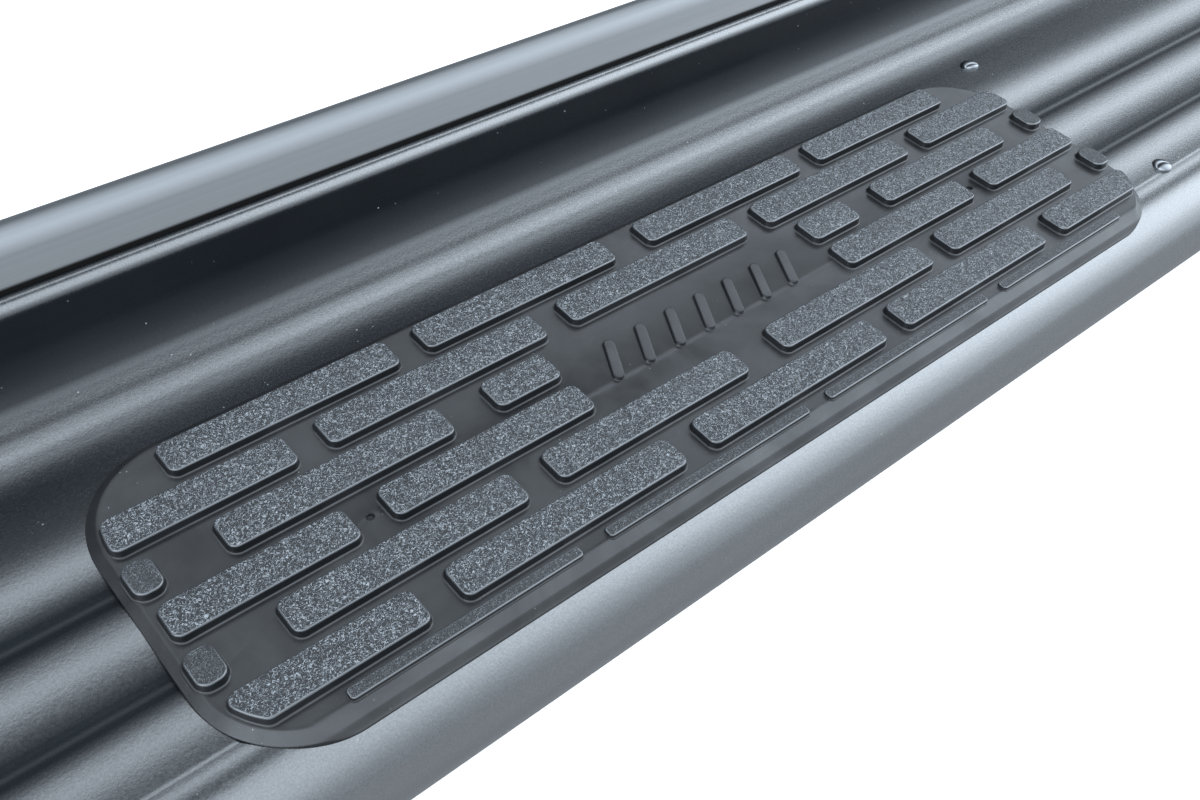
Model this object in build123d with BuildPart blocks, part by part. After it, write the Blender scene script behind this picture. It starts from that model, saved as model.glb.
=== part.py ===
"""Running board for a light truck: formed steel deck panel with a rolled nose
and a rear upstand, two moulded step pads, a rubber body seal, end caps, and
four adjustable mounting brackets on riveted support saddles.

Frame: millimetres, +Z up, +X along the board, +Y towards the vehicle.
Origin: mid-length, on the plane of the deck ridges' tops (Z = 0), 12.4 mm
towards the vehicle from the middle ridge's top line.
"""
from build123d import *
from math import sin, cos, tan, radians, degrees, atan2, sqrt, hypot
import os

os.makedirs("parts", exist_ok=True)

# ------------------------------------------------------------ driving sizes
# overall
DECK_L = 1960.0            # deck panel length along X
CAP_T = 20.0               # end cap thickness beyond the panel's end
CAP_ROUND = 4.0            # round of the caps' outer edges
SHEET = 2.0                # deck panel sheet thickness

# deck cross-section (all on the upper, visible surface)
NOSE_Y, NOSE_R = -66.0, 26.2      # front roll: centre line and radius
CREST_Y = (-50.2, -12.4, 25.4)    # tops of the three lengthwise ridges
RIDGE_PITCH = 37.8
WAVE_H = 2.0                      # ridge height, trough to top
TROUGH_R = 10.0                   # troughs between the ridges
FRONT_TROUGH_R = 8.0              # shallow trough between nose and first ridge
SLOPE_DEG, SLOPE_Y1 = 13.0, 64.0  # fall behind the rear ridge
GUTTER_R = 62.0                   # turn from that slope to the flat gutter
COVE_Y, COVE_R = 90.0, 23.0       # cove: start line and radius
UPSTAND_Y = COVE_Y + COVE_R       # front face of the rear upstand
BEND_Z, BEND_R = 24.3, 5.0        # rolled top edge of the upstand
FLANGE_DEG, FLANGE_L = -20.0, 17.0  # top flange: slope and length
LIP_Y, HEM_R, HEM_H = -52.0, 3.0, 6.0  # bottom return lip and its hem

# broad ridge arcs that meet in narrow troughs
RIDGE_R = ((RIDGE_PITCH / 2) ** 2 + WAVE_H ** 2) / (2 * WAVE_H) - TROUGH_R

# step pads
PAD_X = 500.0                     # pad centres at -PAD_X and +PAD_X
PAD_L = 480.0
PAD_Y0, PAD_Y1 = -78.0, 55.5      # front and rear edges
PAD_CORNER_R = 37.0
PAD_FLOOR = 2.8                   # floor above the ridge plane
BLOCK_H = 3.8                     # tread blocks above the floor
BLOCK_R = 3.2
BLOCK_DRAFT = 6.0
ROW_Y0, ROW_PITCH, ROW_D = 41.7, 19.6, 14.1
PAD_GAP = 0.06                    # pad underside to deck surface
STUD_R, STUD_Z = 3.0, -13.0
NUT_TOP = -2.5                    # push nuts bear on the inside of the ridges
STUD_X, STUD_Y = (-205.0, -70.0, 70.0, 205.0), (25.4, -50.2)

# stations of saddles, rivets and brackets
STATIONS = (-860.0, -235.0, 235.0, 860.0)
RIVET_Y = (-57.4, 59.5)
RIVET_R, RIVET_HEAD_R, RIVET_HEAD_H = 2.4, 4.9, 2.5

# saddles
SADDLE_W, SADDLE_T = 60.0, 3.0
SADDLE_TOP = -30.0                # top of the dropped seat
SLOT_X = 15.0                     # bolt slots at station -/+ SLOT_X
SLOT_W = 8.6
TRAVEL = 8.0                      # bracket adjustment each way, along Y
SLOT_L = SLOT_W + 2 * TRAVEL + 5.8   # room for the square necks at both ends

# brackets
ARM_W, ARM_T, CHEEK_T = 56.0, 4.0, 3.5
ARM_TOP = SADDLE_TOP - SADDLE_T   # arm web lies under the saddle seat
FOOT_Y, FOOT_T = 200.0, 6.0
FOOT_W, FOOT_Z0, FOOT_Z1 = 98.0, -26.0, 72.0
FOOT_SLOT_Z, FOOT_SLOT_DX = 46.0, 56.0
FOOT_SLOT_W, FOOT_SLOT_L = 9.0, 22.0
ISO_T = 3.0


# ------------------------------------------------------------ deck section
def between(c1, r1, c2, r2, r, up=True):
    """Centre of the circle of radius r that touches circles (c1, r1) and
    (c2, r2) from outside, above the line of centres."""
    d1, d2 = r1 + r, r2 + r
    dx, dy = c2[0] - c1[0], c2[1] - c1[1]
    d = hypot(dx, dy)
    a = (d1 * d1 - d2 * d2 + d * d) / (2 * d)
    h = sqrt(d1 * d1 - a * a)
    s = 1 if up else -1
    return (c1[0] + a * dx / d - s * h * dy / d, c1[1] + a * dy / d + s * h * dx / d)


def ang(c, p):
    return degrees(atan2(p[1] - c[1], p[0] - c[0]))


NOSE_C = (NOSE_Y, -NOSE_R)
C3, C2, C1 = [(y, -RIDGE_R) for y in CREST_Y]
V3 = between(NOSE_C, NOSE_R, C3, RIDGE_R, FRONT_TROUGH_R)
V2 = between(C3, RIDGE_R, C2, RIDGE_R, TROUGH_R)
V1 = between(C2, RIDGE_R, C1, RIDGE_R, TROUGH_R)
SL = radians(SLOPE_DEG)
SLOPE_A = (C1[0] + RIDGE_R * sin(SL), C1[1] + RIDGE_R * cos(SL))
SLOPE_B = (SLOPE_Y1, SLOPE_A[1] - (SLOPE_Y1 - SLOPE_A[0]) * tan(SL))
GUTTER_C = (SLOPE_B[0] + GUTTER_R * sin(SL), SLOPE_B[1] + GUTTER_R * cos(SL))
LAND_Z = GUTTER_C[1] - GUTTER_R
COVE_C = (COVE_Y, LAND_Z + COVE_R)
BEND_C = (UPSTAND_Y + BEND_R, BEND_Z)
HEM_C = (LIP_Y, -2 * NOSE_R + HEM_R)
LIP_Z = -2 * NOSE_R

# chain of the upper surface from the hem at the front to the top flange at
# the rear: ("line", p, q, inward normal) or ("arc", centre, radius, a0, a1,
# +1 for a ridge or -1 for a trough)
U = (cos(radians(FLANGE_DEG)), sin(radians(FLANGE_DEG)))      # along the flange
N = (-U[1], U[0])                                             # out of its top
BEND_END = (BEND_C[0] + BEND_R * N[0], BEND_C[1] + BEND_R * N[1])
FLANGE_END = (BEND_END[0] + FLANGE_L * U[0], BEND_END[1] + FLANGE_L * U[1])

CHAIN = [
    ("line", (HEM_C[0] + HEM_R, HEM_C[1] + HEM_H), (HEM_C[0] + HEM_R, HEM_C[1]), (-1, 0)),
    ("arc", HEM_C, HEM_R, 0.0, -90.0, 1),
    ("line", (LIP_Y, LIP_Z), (NOSE_Y, LIP_Z), (0, 1)),
    ("arc", NOSE_C, NOSE_R, -90.0, -360.0 + ang(NOSE_C, V3), 1),
    ("arc", V3, FRONT_TROUGH_R, ang(V3, NOSE_C), ang(V3, C3), -1),
    ("arc", C3, RIDGE_R, ang(C3, V3), ang(C3, V2), 1),
    ("arc", V2, TROUGH_R, ang(V2, C3), ang(V2, C2), -1),
    ("arc", C2, RIDGE_R, ang(C2, V2), ang(C2, V1), 1),
    ("arc", V1, TROUGH_R, ang(V1, C2), ang(V1, C1), -1),
    ("arc", C1, RIDGE_R, ang(C1, V1), 90.0 - SLOPE_DEG, 1),
    ("line", SLOPE_A, SLOPE_B, (-sin(SL), -cos(SL))),
    ("arc", GUTTER_C, GUTTER_R, -90.0 - SLOPE_DEG, -90.0, -1),
    ("line", (GUTTER_C[0], LAND_Z), (COVE_Y, LAND_Z), (0, -1)),
    ("arc", COVE_C, COVE_R, -90.0, 0.0, -1),
    ("line", (UPSTAND_Y, COVE_C[1]), (UPSTAND_Y, BEND_Z), (1, 0)),
    ("arc", BEND_C, BEND_R, 180.0, 90.0 + FLANGE_DEG, 1),
    ("line", BEND_END, FLANGE_END, (-N[0], -N[1])),
]
HEM, LIP, NOSE, LAND, UPSTAND, BEND, FLANGE = 0, 2, 3, 12, 14, 15, 16
# the front rivets sit on coined flats, the rear ones square to the slope
FRONT_HEAD_Z = -0.45
REAR_HEAD_Z = SLOPE_A[1] - (RIVET_Y[1] - SLOPE_A[0]) * tan(SL)
REAR_PLANE = Plane(origin=(0, RIVET_Y[1], REAR_HEAD_Z), x_dir=(1, 0, 0), z_dir=(0, sin(SL), cos(SL)))


def offset_piece(seg, d):
    """End points (and middle point of an arc) of one chain piece, moved d
    into the sheet from the visible surface."""
    if seg[0] == "line":
        _, p, q, n = seg
        return [(p[0] + d * n[0], p[1] + d * n[1]), (q[0] + d * n[0], q[1] + d * n[1])]
    _, c, r, a0, a1, sign = seg
    rr = r - sign * d
    return [(c[0] + rr * cos(radians(a)), c[1] + rr * sin(radians(a))) for a in (a0, (a0 + a1) / 2, a1)]


def draw(d, first, last):
    """Draw the chain at depth d in the current line context; returns its two ends."""
    for seg in CHAIN[first:last + 1]:
        pts = offset_piece(seg, d)
        if len(pts) == 2:
            Line(pts[0], pts[1])
        else:
            ThreePointArc(pts[0], pts[1], pts[2])
    return offset_piece(CHAIN[first], d)[0], offset_piece(CHAIN[last], d)[-1]


# ------------------------------------------------------------ deck panel
with BuildPart() as deck_panel:
    with BuildSketch(Plane.YZ.offset(-DECK_L / 2)) as deck_section:
        with BuildLine():
            a0, a1 = draw(0.0, HEM, FLANGE)
            b0, b1 = draw(SHEET, HEM, FLANGE)
            Line(a0, b0)
            Line(a1, b1)
        make_face()
    extrude(amount=DECK_L)
    # rivet holes at every support station
    with BuildSketch(Plane.XY.offset(10)):
        with Locations(*[(x, RIVET_Y[0]) for x in STATIONS]):
            Circle(RIVET_R + 0.15)
    extrude(amount=-30, mode=Mode.SUBTRACT)
    with BuildSketch(REAR_PLANE.offset(5)):
        with Locations(*[(x, 0) for x in STATIONS]):
            Circle(RIVET_R + 0.15)
    extrude(amount=-15, mode=Mode.SUBTRACT)
    # flat coined seats under the heads of the front rivets
    with BuildSketch(Plane.XY.offset(FRONT_HEAD_Z)):
        with Locations(*[(x, RIVET_Y[0]) for x in STATIONS]):
            Circle(RIVET_HEAD_R + 0.15)
    extrude(amount=6, mode=Mode.SUBTRACT)
    # holes for the pad studs
    with BuildSketch(Plane.XY.offset(10)):
        with Locations(*[(s * PAD_X + x, y) for s in (-1, 1) for x in STUD_X for y in STUD_Y]):
            Circle(STUD_R + 0.6)
    extrude(amount=-30, mode=Mode.SUBTRACT)
    # end cap screw holes in the bottom lip
    with BuildSketch(Plane.XY.offset(LIP_Z - 1)):
        with Locations(*[(s * (DECK_L / 2 - x), -60.0) for s in (-1, 1) for x in (8.0, 18.0)]):
            Circle(2.3)
    extrude(amount=SHEET + 2, mode=Mode.SUBTRACT)
deck_panel.part.label = "deck_panel"
export_step(deck_panel.part, "parts/deck_panel.step")


# ------------------------------------------------------------ rear seal
def su(s, h):
    """Point at s along the top flange from its bend and h above it."""
    return (BEND_END[0] + s * U[0] + h * N[0], BEND_END[1] + s * U[1] + h * N[1])


with BuildPart() as seal_carrier:
    with BuildSketch(Plane.YZ.offset(-DECK_L / 2 + 4)):
        with BuildLine():
            Polyline(su(3.0, 0.1), su(3.0, 0.7), su(17.8, 0.7), su(17.8, -2.7), su(5.0, -2.7),
                     su(5.0, -2.1), su(17.2, -2.1), su(17.2, 0.1), close=True)
        make_face()
    extrude(amount=DECK_L - 8)
seal_carrier.part.label = "seal_carrier"
export_step(seal_carrier.part, "parts/seal_carrier.step")

with BuildPart() as rear_seal_strip:
    with BuildSketch(Plane.YZ.offset(-DECK_L / 2)):
        with BuildLine():
            # flat visible face, then the rounded rear edge that meets the body
            Line(su(1.0, 0.12), (121.3, 29.9))
            Line((121.3, 29.9), (137.0, 38.6))
            Spline((137.0, 38.6), (142.2, 39.9), (147.6, 38.6), (150.4, 34.8), (148.9, 30.2),
                   tangents=[(0.875, 0.485), (-0.6, -0.8)])
            # underside of the foot
            Line((148.9, 30.2), (140.5, 20.5))
            Line((140.5, 20.5), su(19.5, -5.0))
            Line(su(19.5, -5.0), su(4.2, -5.0))
            Line(su(4.2, -5.0), su(3.4, -4.2))
            Line(su(3.4, -4.2), su(3.4, -2.12))
            # groove around carrier and flange
            Polyline(su(3.4, -2.12), su(4.95, -2.12), su(4.95, -2.75), su(17.85, -2.75),
                     su(17.85, 0.75), su(2.95, 0.75), su(2.95, 0.12), su(1.0, 0.12))
        make_face()
        # hollow of the soft edge, for its squeeze against the body
        with Locations((141.4, 31.6)):
            Circle(4.2, mode=Mode.SUBTRACT)
    extrude(amount=DECK_L)
rear_seal_strip.part.label = "rear_seal_strip"
export_step(rear_seal_strip.part, "parts/rear_seal_strip.step")

# ------------------------------------------------------------ step pads
# tread blocks as (row, x from, x to), for the right half; each is mirrored
BLOCKS = [
    (0, 9.2, 102.4), (0, 114.6, 205.4),
    (1, 60.8, 156.4), (1, 168.7, 240.0),
    (2, 70.2, 99.0), (2, 118.1, 205.1), (2, 226.6, 236.5),
    (3, 70.2, 156.0), (3, 169.0, 234.1),
    (4, 9.9, 102.0), (4, 115.6, 205.1), (4, 226.6, 236.5),
    (5, 60.8, 156.6), (5, 169.2, 240.0),
]
CENTRE_BLOCKS = [(1, 48.2), (5, 48.2)]      # blocks across the pad's middle
SLIVERS = [(5.8, 103.6), (115.5, 203.4)]    # low strips along the front rim
SPREAD = BLOCK_H * tan(radians(BLOCK_DRAFT))


def row_y(i):
    return ROW_Y0 - i * ROW_PITCH


def pad_outline(inset, y0=PAD_Y0, y1=PAD_Y1):
    """Rounded rectangle of the pad's plan, inset by the given amount."""
    with Locations((0, (y0 + y1) / 2)):
        RectangleRounded(PAD_L - 2 * inset, y1 - y0 - 2 * inset, PAD_CORNER_R - inset)


def make_pad(x_c):
    """One step pad centred at X = x_c."""
    with BuildPart() as blocks:
        with BuildSketch(Plane.XY.offset(PAD_FLOOR - 0.4)):
            for r, x0, x1 in BLOCKS:
                for s in (-1, 1):
                    w = x1 - x0 + 2 * SPREAD
                    with Locations((s * (x0 + x1) / 2, row_y(r))):
                        RectangleRounded(w, ROW_D + 2 * SPREAD, min(BLOCK_R, w / 2 - 1.2))
            for r, hx in CENTRE_BLOCKS:
                with Locations((0, row_y(r))):
                    RectangleRounded(2 * hx + 2 * SPREAD, ROW_D + 2 * SPREAD, BLOCK_R)
        extrude(amount=BLOCK_H + 0.4, taper=BLOCK_DRAFT)
        # the outer blocks are cut along the pad's rim
        with BuildSketch(Plane.XY.offset(-5)):
            pad_outline(6.0)
        extrude(amount=20, mode=Mode.INTERSECT)
    with BuildPart(Plane.XY) as pad:
        # base plate with a bevelled rim
        with BuildSketch(Plane.XY.offset(-8)):
            pad_outline(0.0)
        extrude(amount=8 + PAD_FLOOR)
        chamfer(pad.faces().sort_by(Axis.Z)[-1].edges(), length=2.4, length2=3.2,
                reference=pad.faces().sort_by(Axis.Z)[-1])
        # front slope that follows the nose, in two facets
        with BuildSketch(Plane.YZ.offset(-PAD_L / 2 - 1)):
            with BuildLine():
                Polyline((-70.7, PAD_FLOOR), (-75.6, 0.9), (-77.4, -1.6), (-84, -1.6), (-84, 12),
                         (-70.7, 12), (-70.7, PAD_FLOOR))
            make_face()
        extrude(amount=PAD_L + 2, mode=Mode.SUBTRACT)
        add(blocks.part)
        # low strips along the front rim
        with BuildSketch(Plane.XY.offset(0.4)):
            for x0, x1 in SLIVERS:
                for s in (-1, 1):
                    with Locations((s * (x0 + x1) / 2, -69.1)):
                        RectangleRounded(x1 - x0, 4.2, 1.4)
        extrude(amount=PAD_FLOOR - 0.4 + 1.5, taper=5)
        # plain slanted grip bars in the middle of the pad
        with BuildSketch(Plane.XY.offset(PAD_FLOOR - 0.3)):
            with Locations(*[(-48 + 16 * k, -7.6) for k in range(7)]):
                SlotOverall(21, 4.4, rotation=62)
        extrude(amount=0.3 + 1.7, taper=8)
        # gate marks
        with Locations(*[Location((x, -16.6, PAD_FLOOR)) for x in (-162, 162)]):
            Hole(1.5, depth=1.2)
        # underside: lies on the ridge tops, follows the rear slope and the
        # nose; the studs stay
        with BuildSketch(Plane.YZ.offset(-PAD_L / 2 - 5)):
            with BuildLine():
                r_n = NOSE_R + PAD_GAP
                p_n = (-88.0, NOSE_C[1] + sqrt(r_n ** 2 - (-88.0 - NOSE_Y) ** 2))
                m_n = (-78.0, NOSE_C[1] + sqrt(r_n ** 2 - (-78.0 - NOSE_Y) ** 2))
                ThreePointArc(p_n, m_n, (NOSE_Y, PAD_GAP))
                Polyline((NOSE_Y, PAD_GAP), (27.2, PAD_GAP), (36.0, -0.45), (43.5, -1.95),
                         (66.0, -7.1), (66.0, -26.0), (-88.0, -26.0), p_n)
            make_face()
        extrude(amount=PAD_L + 10, mode=Mode.SUBTRACT)
        # studs that pass through the deck
        with BuildSketch(Plane.XY.offset(STUD_Z)):
            with Locations(*[(x, y) for x in STUD_X for y in STUD_Y]):
                Circle(STUD_R)
        extrude(amount=PAD_FLOOR - STUD_Z - 1.0)
    return Pos(x_c, 0, 0) * pad.part


for side, x_c in (("front", -PAD_X), ("rear", PAD_X)):
    step_pad = make_pad(x_c)
    step_pad.label = f"{side}_step_pad"
    export_step(step_pad, f"parts/{side}_step_pad.step")

    with BuildPart() as push_nuts:
        with BuildSketch(Plane.XY.offset(NUT_TOP - 0.6)):
            with Locations(*[(x_c + x, y) for x in STUD_X for y in STUD_Y]):
                Circle(8.0)
                Circle(STUD_R + 0.05, mode=Mode.SUBTRACT)
        extrude(amount=0.6)
        with BuildSketch(Plane.XY.offset(NUT_TOP - 1.9)):
            with Locations(*[(x_c + x, y) for x in STUD_X for y in STUD_Y]):
                Circle(4.6)
                Circle(STUD_R + 0.05, mode=Mode.SUBTRACT)
        extrude(amount=1.4)
    push_nuts.part.label = f"{side}_pad_push_nuts"
    export_step(push_nuts.part, f"parts/{side}_pad_push_nuts.step")

# ------------------------------------------------------------ end caps
for side, s in (("front", -1), ("rear", 1)):
    x_end = s * DECK_L / 2
    with BuildPart() as end_cap:
        # outer plate, a little proud of the panel all round
        with BuildSketch(Plane.YZ.offset(x_end)):
            with BuildLine():
                p, q = draw(-1.5, NOSE, BEND)
                Polyline(q, (121.0, 20.0), (121.0, -4.0), (96.0, -26.0), (-44.0, -2 * NOSE_R - 1.5), p)
            make_face()
        extrude(amount=s * CAP_T)
        outer = end_cap.faces().sort_by(Axis.X)[-1 if s > 0 else 0]
        fillet(outer.edges(), CAP_ROUND)
        # plug that fits inside the panel
        with BuildSketch(Plane.YZ.offset(x_end)):
            with BuildLine():
                a0, a1 = draw(SHEET + 0.25, NOSE, UPSTAND)
                b0, b1 = draw(SHEET + 2.75, NOSE, UPSTAND)
                Line(a0, b0)
                Line(a1, b1)
            make_face()
        extrude(amount=-s * 26)
        # boss for the two screws
        with BuildSketch(Plane.YZ.offset(x_end)):
            with BuildLine():
                Polyline((-67.0, LIP_Z + SHEET + 0.25), (-55.5, LIP_Z + SHEET + 0.25), (-55.5, -41.0),
                         (-67.0, -41.0), close=True)
            make_face()
        extrude(amount=-s * 26)
        with BuildSketch(Plane.XY.offset(LIP_Z)):
            with Locations(*[(s * (DECK_L / 2 - x), -60.0) for x in (8.0, 18.0)]):
                Circle(1.95)
        extrude(amount=11, mode=Mode.SUBTRACT)
    end_cap.part.label = f"{side}_end_cap"
    export_step(end_cap.part, f"parts/{side}_end_cap.step")

SCREW_XY = [(s * (DECK_L / 2 - x), -60.0) for s in (-1, 1) for x in (8.0, 18.0)]
with BuildPart() as end_cap_screws:
    with BuildSketch(Plane.XY.offset(LIP_Z - 2.6)):
        with Locations(*SCREW_XY):
            Circle(4.0)
    extrude(amount=2.6)
    fillet(end_cap_screws.edges().group_by(Axis.Z)[0], 1.2)
    with BuildSketch(Plane.XY.offset(LIP_Z - 0.5)):
        with Locations(*SCREW_XY):
            Circle(1.9)
    extrude(amount=10.5)
    # cross recess
    with BuildSketch(Plane.XY.offset(LIP_Z - 2.6)):
        with Locations(*SCREW_XY):
            Rectangle(3.6, 0.9)
            Rectangle(0.9, 3.6)
    extrude(amount=1.5, mode=Mode.SUBTRACT)
end_cap_screws.part.label = "end_cap_screws"
export_step(end_cap_screws.part, "parts/end_cap_screws.step")


# ------------------------------------------------------------ support saddles
FRONT_SEAT = V3[1] - FRONT_TROUGH_R - SHEET - 0.02   # underside of the front trough
REAR_SEAT = SHEET + 0.02                             # below the slope, square to it


def under_slope(y):
    """Point of the slope's underside below the visible surface at y."""
    z = SLOPE_A[1] - (y - SLOPE_A[0]) * tan(SL)
    return (y - REAR_SEAT * sin(SL), z - REAR_SEAT * cos(SL))


# top line of the strap, front flange to rear flange
STRAP = [(-65.0, FRONT_SEAT), (-48.0, FRONT_SEAT), (-36.0, SADDLE_TOP), (36.0, SADDLE_TOP),
         under_slope(49.5), under_slope(68.5)]


def offset_line(pts, d):
    """Offset an open polyline d to its right-hand side (mitred)."""
    out = []
    for i, p in enumerate(pts):
        dirs = []
        if i > 0:
            dirs.append((p[0] - pts[i - 1][0], p[1] - pts[i - 1][1]))
        if i < len(pts) - 1:
            dirs.append((pts[i + 1][0] - p[0], pts[i + 1][1] - p[1]))
        ns = []
        for v in dirs:
            L = hypot(*v)
            ns.append((v[1] / L, -v[0] / L))
        if len(ns) == 1:
            out.append((p[0] + d * ns[0][0], p[1] + d * ns[0][1]))
        else:
            m = (ns[0][0] + ns[1][0], ns[0][1] + ns[1][1])
            k = 1 + ns[0][0] * ns[1][0] + ns[0][1] * ns[1][1]
            out.append((p[0] + d * m[0] / k, p[1] + d * m[1] / k))
    return out


STRAP_LOW = offset_line(STRAP, SADDLE_T)

for n, x in enumerate(STATIONS, 1):
    with BuildPart() as saddle:
        with BuildSketch(Plane.YZ.offset(x - SADDLE_W / 2)):
            with BuildLine():
                Polyline(*STRAP, *reversed(STRAP_LOW), close=True)
            make_face()
        extrude(amount=SADDLE_W)
        fillet(saddle.edges().filter_by(Axis.X).filter_by(
            lambda e: any(hypot(e.center().Y - q[0], e.center().Z - q[1]) < 0.1
                          for q in STRAP[1:-1] + STRAP_LOW[1:-1])), 2.0)
        # upturned side lips on the seat
        with BuildSketch(Plane.XY.offset(SADDLE_TOP - SADDLE_T)):
            with Locations((x - SADDLE_W / 2 + 1.5, 0), (x + SADDLE_W / 2 - 1.5, 0)):
                Rectangle(3.0, 60.0)
        extrude(amount=SADDLE_T + 9.0)
        # rounded corners of the two riveted ends
        fillet(saddle.edges().filter_by(Axis.Z).group_by(Axis.Y)[0], 8.0)
        fillet(saddle.edges().filter_by(lambda e: e.center().Y > 64 and abs(e.length - SADDLE_T) < 0.05), 8.0)
        # rivet holes
        with BuildSketch(Plane.XY.offset(0)):
            with Locations((x, RIVET_Y[0])):
                Circle(RIVET_R + 0.15)
        extrude(amount=-12, mode=Mode.SUBTRACT)
        with BuildSketch(REAR_PLANE.offset(2)):
            with Locations((x, 0)):
                Circle(RIVET_R + 0.15)
        extrude(amount=-12, mode=Mode.SUBTRACT)
        # adjustment slots across the board
        with BuildSketch(Plane.XY.offset(SADDLE_TOP + 1)):
            with Locations((x - SLOT_X, 0), (x + SLOT_X, 0)):
                SlotOverall(SLOT_L, SLOT_W, rotation=90)
        extrude(amount=-(SADDLE_T + 2), mode=Mode.SUBTRACT)
    saddle.part.label = f"support_saddle_{n}"
    export_step(saddle.part, f"parts/support_saddle_{n}.step")

# ------------------------------------------------------------ deck rivets
def make_rivet(low):
    """One set blind rivet: head on Z = 0, blind end starting at Z = low."""
    with BuildPart() as rivet:
        # dome head, shank and the set blind end, as one turned profile
        with BuildSketch(Plane.XZ):
            with BuildLine():
                Line((0, 0.02 + RIVET_HEAD_H), (0, low - 4.4))
                Spline((0, low - 4.4), (2.6, low - 3.9), (3.5, low - 2.0), (3.3, low - 0.05),
                       tangents=[(1, 0), (-0.2, 1)])
                Line((3.3, low - 0.05), (RIVET_R, low - 0.05))
                Line((RIVET_R, low - 0.05), (RIVET_R, 0.02))
                Line((RIVET_R, 0.02), (RIVET_HEAD_R, 0.02))
                Line((RIVET_HEAD_R, 0.02), (RIVET_HEAD_R, 0.5))
                Spline((RIVET_HEAD_R, 0.5), (3.6, 1.87), (0, 0.02 + RIVET_HEAD_H),
                       tangents=[(-0.25, 1), (-1, 0)])
            make_face()
        revolve(axis=Axis.Z)
    return rivet.part


FRONT_LOW = FRONT_SEAT - FRONT_HEAD_Z - SADDLE_T - 1.2
REAR_LOW = -REAR_SEAT - SADDLE_T - 1.2
with BuildPart() as deck_rivets:
    front_rivet, rear_rivet = make_rivet(FRONT_LOW), make_rivet(REAR_LOW)
    for x in STATIONS:
        add(Location((x, RIVET_Y[0], FRONT_HEAD_Z)) * front_rivet)
        add(Location((x, RIVET_Y[1], REAR_HEAD_Z), (-SLOPE_DEG, 0, 0)) * rear_rivet)
deck_rivets.part.label = "deck_rivets"
export_step(deck_rivets.part, "parts/deck_rivets.step")

with BuildPart() as rivet_washers:
    with BuildSketch(Plane.XY.offset(FRONT_SEAT - SADDLE_T - 1.2)):
        with Locations(*[(x, RIVET_Y[0]) for x in STATIONS]):
            Circle(6.0)
            Circle(RIVET_R + 0.1, mode=Mode.SUBTRACT)
    extrude(amount=1.17)
    with BuildSketch(REAR_PLANE.offset(REAR_LOW)):
        with Locations(*[(x, 0) for x in STATIONS]):
            Circle(6.0)
            Circle(RIVET_R + 0.1, mode=Mode.SUBTRACT)
    extrude(amount=1.17)
rivet_washers.part.label = "rivet_backing_washers"
export_step(rivet_washers.part, "parts/rivet_backing_washers.step")

# ------------------------------------------------------------ brackets
ARM_Z = ARM_TOP - 0.02
ARM_SIDE = [(-38.0, ARM_Z), (112.0, ARM_Z), (FOOT_Y, 8.0), (FOOT_Y, -25.0), (128.0, -58.0), (70.0, -56.0),
            (-38.0, -46.0)]
WEB_LOW = offset_line([(-60.0, ARM_Z), (112.0, ARM_Z), (FOOT_Y + 20, 8.0 + 20 * (8.0 - ARM_Z) / (FOOT_Y - 112.0))], ARM_T)
WEB_SLOPE = (8.0 - ARM_Z) / (FOOT_Y - 112.0)
WASHER_T, LOCK_T, NUT_H, NUT_AF = 1.6, 2.0, 6.8, 13.0
Z_W = ARM_Z - ARM_T
Z_L = Z_W - WASHER_T - 0.02
Z_N = Z_L - LOCK_T - 0.02

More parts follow.
